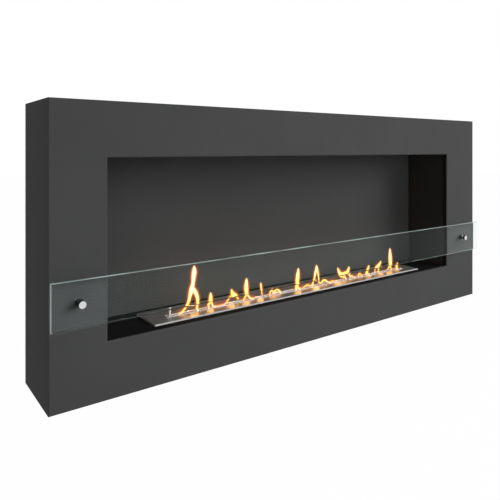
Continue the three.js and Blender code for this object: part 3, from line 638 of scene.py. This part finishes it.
def cap(side):
    """The screw cap: a bored bar with a rounded front edge and a shallow dish in its face."""
    node = "holder_cap_" + side
    low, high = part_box(node)
    radius = (high.x - low.x) / 2
    piece = round_bar("screw_cap_" + side, low, high, radius)
    start_edit(piece)
    pick_faces(piece, facing((0, 1, 0)))
    bpy.ops.mesh.inset(thickness=radius - BORE_RADIUS)
    bpy.ops.mesh.extrude_region_move(TRANSFORM_OT_translate={"value": (0, -CAP_BORE_DEPTH, 0)})
    pick_faces(piece, facing((0, -1, 0)))
    bpy.ops.mesh.inset(thickness=CAP_RIM)
    bpy.ops.mesh.inset(thickness=CAP_DISH_SLOPE)
    bpy.ops.transform.translate(value=(0, CAP_DISH_DEPTH, 0))
    end_edit()
    soften_edges(piece, ROUNDED_EDGE, ROUNDED_STEPS, ROUNDED_FROM)
    smooth(piece)
    # Painted shade: the cap's face takes the bright steel and its sides the dark copy of it, which stands
    # for the shade on the sides.
    stand_for(piece, node, bright_steel, painted_shade_steel)
    for face in piece.data.polygons:
        face.material_index = 0 if face.normal.y < -0.5 else 1


def add_holders():
    for side in SIDES:
        ring("rear_washer_" + side, "holder_washer_rear_" + side, rubber, RUBBER_EDGE)
        ring("front_washer_" + side, "holder_washer_front_" + side, rubber, RUBBER_EDGE)
        # Painted shade: the barrels take the dark copy of the polished steel, which stands for their shade
        # behind the glass.
        ring("barrel_" + side, "holder_barrel_" + side, painted_shade_steel, BARREL_EDGE)
        ring("bush_" + side, "holder_bush_" + side, rubber, BUSH_EDGE)
        cap(side)


KNOB_NECK = 1.7 * MM
KNOB_GRIP_HEIGHT = 11 * MM


def add_knob():
    """A plain peg: a grip with a rounded head on a thinner neck that goes down to the damper."""
    low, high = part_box("damper_knob")
    radius = (high.x - low.x) / 2
    grip_low = Vector((low.x, low.y, high.z - KNOB_GRIP_HEIGHT))
    piece = round_bar("knob", grip_low, high, radius, turn=(0, 0, 0))
    start_edit(piece)
    pick_faces(piece, facing((0, 0, -1)))
    bpy.ops.mesh.inset(thickness=radius - KNOB_NECK)
    bpy.ops.mesh.extrude_region_move(TRANSFORM_OT_translate={"value": (0, 0, low.z - grip_low.z)})
    end_edit()
    soften_edges(piece, ROUNDED_EDGE, ROUNDED_STEPS, ROUNDED_FROM)
    smooth(piece)
    stand_for(piece, "damper_knob", cut_steel)


SCREW_SHANK = 1.5 * MM
SCREW_HEAD_HEIGHT = 1.4 * MM
RECESS_ARM = 3.2 * MM
RECESS_WIDTH = 0.7 * MM
RECESS_DEPTH = 0.9 * MM


def add_screws():
    """Countersunk screws with a cross recess, one modelled and then copied."""
    screw_nodes = sorted(node for node in SLOT_OF if node.startswith("cover_screw_"))
    low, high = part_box(screw_nodes[0])
    middle = (low + high) / 2
    head_radius = (high.x - low.x) / 2
    bpy.ops.mesh.primitive_cone_add(
        vertices=ROUND // 2, radius1=head_radius, radius2=SCREW_SHANK, depth=SCREW_HEAD_HEIGHT,
        location=(middle.x, high.y - SCREW_HEAD_HEIGHT / 2, middle.z), rotation=TOWARDS_WALL)
    screw = take("screw")
    start_edit(screw)
    pick_faces(screw, facing((0, -1, 0)))
    shank = low.y - (high.y - SCREW_HEAD_HEIGHT)
    bpy.ops.mesh.extrude_region_move(TRANSFORM_OT_translate={"value": (0, shank, 0)})
    end_edit()
    for length, height in ((RECESS_ARM, RECESS_WIDTH), (RECESS_WIDTH, RECESS_ARM)):
        bpy.ops.mesh.primitive_cube_add(size=1, location=(middle.x, high.y, middle.z))
        tool = bpy.context.object
        tool.dimensions = (length, 2 * RECESS_DEPTH, height)
        tool = take("recess_tool")
        apply_modifier(screw, "BOOLEAN", operation="DIFFERENCE", object=tool, solver="EXACT")
        bpy.data.objects.remove(tool)
    smooth(screw)
    for node in screw_nodes:
        copy = screw.copy()
        copy.data = screw.data.copy()
        copy.name = node.replace("cover_screw", "crosshead_screw")
        bpy.context.scene.collection.objects.link(copy)
        node_low, node_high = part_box(node)
        select_only(copy)
        copy.location = (node_low + node_high) / 2 - middle
        bpy.ops.object.transform_apply(location=True)
        stand_for(copy, node, zinc)
    bpy.data.objects.remove(screw)


# ---------------------------------------------------------------------------------------------
# Flames
# ---------------------------------------------------------------------------------------------

# Each flame is a bundle of strands, and a strand runs through (across, up, half width) in
# millimetres, from the middle of the slot and the top of the plate.
FLAMES = {
    "tall_left": [
        [(-290, 90, 0.8), (-290, 84, 4.3), (-290, 77, 6.6), (-291.5, 67, 5.8), (-292.5, 57, 4.4),
         (-295, 47, 6), (-298, 38, 5.6), (-300.5, 28, 3.8), (-304, 18, 3.3), (-308, 12, 2.8),
         (-313, 6, 2.6), (-319, 2, 2.4), (-326, 0, 1.2)],
        [(-295, 45, 6), (-289, 39, 5.6), (-284, 30, 4.6), (-282, 20, 3.8), (-282, 12, 3),
         (-283, 4, 2.8), (-283, -1, 2)],
    ],
    "small_left": [
        [(-252, 31, 0.8), (-251.5, 26, 3.3), (-251.5, 19, 5), (-253, 12, 4.4), (-256, 6, 2.6),
         (-258, 0, 2)],
        [(-251, 14, 4.4), (-248, 8, 2.6), (-245, 2, 2), (-240, -2, 1.5), (-231, -3, 1.3), (-223, -2, 1.4),
         (-214, 3, 1.6), (-208, 9, 2), (-203, 15, 2.6)],
    ],
    "wedge_left": [
        [(-201, 30, 0.8), (-199.5, 25, 3.4), (-197.5, 19, 5.6), (-196, 14, 5.4)],
        [(-197, 20, 4.6), (-190, 15, 4.8), (-185, 10, 2.8), (-183, 5, 1.4)],
    ],
    "leaf_left": [
        [(-162, 47, 0.8), (-162, 41, 3.6), (-162.5, 33, 5.6), (-162.5, 24, 6), (-162, 14, 4.8),
         (-164, 8, 2.6), (-168, 3, 1.8), (-172, 0, 1.3)],
        [(-161, 14, 4), (-156, 8, 2.6), (-150, 2, 2.2), (-143, -3, 1.4)],
    ],
    "spark_left": [
        [(-124, 32, 0.7), (-123.5, 28, 1.9), (-122.5, 22, 2.4), (-121.5, 15, 2.2), (-120, 9, 1.5),
         (-119, 4, 0.9)],
    ],
    "low_pair": [
        [(-101, -2, 1.3), (-97, 5, 1.8), (-93, 11, 2.2), (-91.5, 15, 0.8)],
        [(-92.5, 12, 2.2), (-89, 7, 2), (-86, 4, 2.2), (-82, 8, 2.4), (-78.5, 12, 1.6)],
        [(-79, 11, 2.3), (-74, 8, 2.6), (-71, 5, 2.4), (-69, 0, 1.8), (-67, -3, 1.2)],
        [(-90, 3, 1.8), (-80, 3, 2), (-73, 3, 1.6)],
    ],
    "leaf_middle": [
        [(-15, 49, 0.8), (-15.5, 43, 3.3), (-16.5, 36, 5.1), (-17.5, 28, 5.8), (-18.5, 18, 5.6),
         (-19, 10, 5), (-20.5, 4, 3.8), (-24, 0, 2.2)],
        [(-18, 8, 4), (-14, 2, 2.6), (-9, -2, 1.4)],
    ],
    "fork_middle": [
        [(42, 49, 0.8), (41.5, 43, 2.8), (39.5, 35, 3.6), (37, 27, 3), (35, 19, 2.5), (32, 10, 2.2),
         (27, 3, 2), (20, 3, 1.8), (14, 6, 1.8), (7, 4, 1.6), (0, 1, 1.4), (-6, -2, 1.1)],
        [(42, 44, 2.8), (44.5, 36, 3), (46.5, 28, 2.4), (48, 20, 1.9), (49.5, 11, 1.7), (53.5, 4, 1.9),
         (60, 5, 2.4), (66, 9, 3), (72, 8, 3), (79, 3, 2.1), (86, -1, 1.5), (92, 2, 1.8), (95, 3, 1.7),
         (100, -1, 1.2)],
    ],
    "crown_right": [
        [(112, 33, 0.7), (113.5, 29, 2.4), (116.5, 23, 4.2), (121, 17, 5.4), (128, 15, 5.8),
         (136, 15, 5.8), (144, 17, 5.4), (149, 22, 4.2), (151, 27, 2.4), (152, 31, 0.7)],
        [(122, 11, 3.2), (131, 8, 3.2), (139, 6, 2.6), (142, 1, 1.6)],
        [(149, 12, 3.2), (155, 9, 2.4), (158, 4, 1.8), (163, 6, 2), (168, 3, 1.6), (173, -2, 1.2)],
    ],
    "low_right": [
        [(183, -1, 1.2), (187, 4, 1.8), (191, 7.5, 2), (195, 5, 1.6), (200, -1, 1.2)],
    ],
    "leaf_right": [
        [(225, 25, 0.8), (223.5, 20, 2.8), (221, 14, 4.6), (218.5, 8, 3.4), (216, 3, 2.2), (214, -2, 1.3)],
        [(221, 9, 2.8), (222.5, 3, 1.9), (223.5, -2, 1.2)],
    ],
    "leaning_right": [
        [(272, 30, 0.7), (269.5, 26, 2.6), (265.5, 21, 4.4), (260, 17, 5.6), (255, 15, 5), (251, 13, 2.4),
         (249.5, 7, 1.4), (249, 2, 1)],
        [(262, 13, 3.4), (264, 7, 1.8), (262, 1, 1.3)],
    ],
    "tall_right": [
        [(308, 59, 0.7), (308, 53, 2.6), (308.5, 45, 4.6), (309, 36, 5.8), (309.5, 26, 5.9),
         (309.5, 17, 5.4), (308, 11, 3.4), (304, 6, 1.8), (300, 3, 1.3)],
        [(310.5, 14, 4), (312.5, 7, 2.2), (315, 0, 1.4)],
    ],
    "last_right": [
        [(338, 18, 0.7), (338.5, 14, 2), (338.5, 9, 3.8), (337.5, 3, 3), (337, -2, 1.8), (336.5, -5, 0.9)],
    ],
}
FLAME_DEPTH = 0.75  # a flame's thickness over its width
FOOT_REACH = 2.75  # how far a foot below the plate's top comes forward instead, per unit of depth
FOOT_LIMIT = 5.5 * MM
# Each skin of a flame: its name, its share of the width written, what is added to that, the
# fineness of its mesh and its material
FLAME_SKINS = (
    ("core", 0.62, 0, 0.6 * MM, core),
    ("flame", 0.9, 0, 0.7 * MM, heart),
    ("glow", 0.9, 1.4 * MM, 1.0 * MM, glow),
    ("halo", 0.9, 4.5 * MM, 1.6 * MM, halo),
)
TUBE_SIDES = 3  # how finely a strand's round section is drawn
TUBE_STEPS = 6  # and its length between two points
MELT = 0.5  # how far each round of smoothing carries the melted strands
MELT_ROUNDS = 4
FLAME_LIGHT = 0.26  # watts for each metre of a flame's height
LIGHT_SHARE = 0.22  # how high in the flame the light sits
FLAME_LIGHT_RADIUS = 8 * MM
FLAME_LIGHT_COLOUR = (1, 0.46, 0.15)


def add_strand(points, share, more):
    """A strand as a tube of changing width, that share of what is written and `more` beyond."""
    bpy.ops.curve.primitive_bezier_curve_add(location=(0, 0, 0))
    strand = bpy.context.object
    strand.data.dimensions = "3D"
    strand.data.bevel_depth = 1
    strand.data.bevel_resolution = TUBE_SIDES
    strand.data.resolution_u = TUBE_STEPS
    strand.data.use_fill_caps = True
    spline = strand.data.splines[0]
    spline.bezier_points.add(len(points) - len(spline.bezier_points))
    for knot, (across, up, half_width) in zip(spline.bezier_points, points):
        width = share * half_width * MM + more
        sunk = max(0, half_width * MM - up * MM)
        forward = min(FOOT_LIMIT, FOOT_REACH * sunk)
        height = max(up * MM, width)
        knot.co = slot_middle + Vector((across * MM, -forward, height))
        knot.radius = width
        knot.handle_left_type = "AUTO"
        knot.handle_right_type = "AUTO"
    select_only(strand)
    bpy.ops.object.convert(target="MESH")
    return bpy.context.object


def add_flame(name, strands, share, more, grain, material):
    """The strands of a flame, melted into one skin and flattened along the slot."""
    tubes = [add_strand(points, share, more) for points in strands]
    deselect_all()
    for tube in tubes:
        tube.select_set(True)
    bpy.context.view_layer.objects.active = tubes[0]
    if len(tubes) > 1:
        bpy.ops.object.join()
    piece = take(name)
    apply_modifier(piece, "REMESH", mode="VOXEL", voxel_size=grain)
    apply_modifier(piece, "SMOOTH", factor=MELT, iterations=MELT_ROUNDS)
    start_edit(piece)
    bpy.ops.mesh.select_all(action="SELECT")
    bpy.ops.transform.resize(value=(1, FLAME_DEPTH, 1), center_override=slot_middle)
    end_edit()
    select_only(piece)
    bpy.ops.object.shade_smooth()
    paint(piece, material)
    piece.visible_shadow = False
    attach(piece, "burner")


def add_flame_lamp(name, strands):
    """The light that a flame gives, low down in it."""
    across, tip, _ = max(strands[0], key=lambda knot: knot[1])
    place = slot_middle + Vector((across, 0, LIGHT_SHARE * tip)) * MM
    bpy.ops.object.light_add(type="POINT", location=place)
    lamp = bpy.context.object
    lamp.name = "light_of_" + name
    lamp.data.color = FLAME_LIGHT_COLOUR
    lamp.data.energy = FLAME_LIGHT * tip * MM
    lamp.data.shadow_soft_size = FLAME_LIGHT_RADIUS
    lamp.visible_camera = False
    lamp.visible_transmission = False


def add_flames():
    for name, strands in FLAMES.items():
        for skin, share, more, grain, material in FLAME_SKINS:
            add_flame(skin + "_" + name, strands, share, more, grain, material)
        add_flame_lamp(name, strands)


# ---------------------------------------------------------------------------------------------
# Room: floor, lamps and surroundings
# ---------------------------------------------------------------------------------------------

FLOOR_BELOW = 1.0
FLOOR_SIZE = 60
FLOOR_WHITE_SHARE = 0.985  # of the floor as it is seen, the rest shows the shadow
AMBIENT = 0.215  # the strength of the surroundings as light
LAMPS_AIM = (0.1, 0, 0)
# Each lamp with its place, its diameter and its power in watts
LAMPS = (
    ("key", (4.2, -4.2, 2.2), 3.5, 278),
    ("fill", (0.1, -1.4, 0.2), 0.6, 4),
)


def seen_directly(tree):
    """1 for what the camera sees, straight on, mirrored or through glass, and 0 for lighting."""
    path = tree.nodes.new("ShaderNodeLightPath")
    seen = path.outputs["Is Camera Ray"]
    for ray in ("Is Glossy Ray", "Is Transmission Ray"):
        seen = combine(tree, "MAXIMUM", seen, path.outputs[ray])
    unscattered = combine(tree, "LESS_THAN", path.outputs["Diffuse Depth"], 0.5)
    return combine(tree, "MULTIPLY", seen, unscattered)


def add_floor():
    bpy.ops.mesh.primitive_plane_add(size=FLOOR_SIZE, location=(0, 0, cad_box[0][2] - FLOOR_BELOW))
    floor = take("floor")
    finish = Finish("pale_floor", (0.9, 0.9, 0.9), 0.9, specular=0.1)
    finish.vary_colour(finish.noise(3, 3), 0.995, 1.0)
    white = finish.node("ShaderNodeEmission", Color=WHITE, Strength=1.0)
    mix = finish.node("ShaderNodeMixShader")
    share = combine(finish.tree, "MULTIPLY", seen_directly(finish.tree), FLOOR_WHITE_SHARE)
    finish.link(share, mix.inputs["Fac"])
    finish.link(finish.shader.outputs["BSDF"], mix.inputs[1])
    finish.link(white.outputs["Emission"], mix.inputs[2])
    finish.link(mix.outputs["Shader"], finish.tree.nodes["Material Output"].inputs["Surface"])
    paint(floor, finish.material)


def add_surroundings():
    world = bpy.data.worlds.new("studio")
    world.use_nodes = True
    bpy.context.scene.world = world
    background = world.node_tree.nodes["Background"]
    background.inputs["Color"].default_value = WHITE
    strength = world.node_tree.nodes.new("ShaderNodeMapRange")
    strength.inputs["To Min"].default_value = AMBIENT
    strength.inputs["To Max"].default_value = 1
    world.node_tree.links.new(seen_directly(world.node_tree), strength.inputs["Value"])
    world.node_tree.links.new(strength.outputs["Result"], background.inputs["Strength"])


def add_lamps():
    """Round lamps that light the object and show in no mirror."""
    for name, place, diameter, power in LAMPS:
        bpy.ops.object.light_add(type="AREA", location=place)
        lamp = bpy.context.object
        lamp.name = name
        lamp.data.shape = "DISK"
        lamp.data.size = diameter
        lamp.data.energy = power
        lamp.rotation_euler = (Vector(LAMPS_AIM) - Vector(place)).to_track_quat("-Z", "Y").to_euler()
        lamp.visible_glossy = False
        lamp.visible_camera = False


add_camera()
paint_solids()
dress_sheet_metal()
dress_glass()
add_holders()
add_knob()
add_screws()
add_flames()
add_floor()
add_surroundings()
add_lamps()
bpy.context.scene.view_settings.view_transform = "Standard"
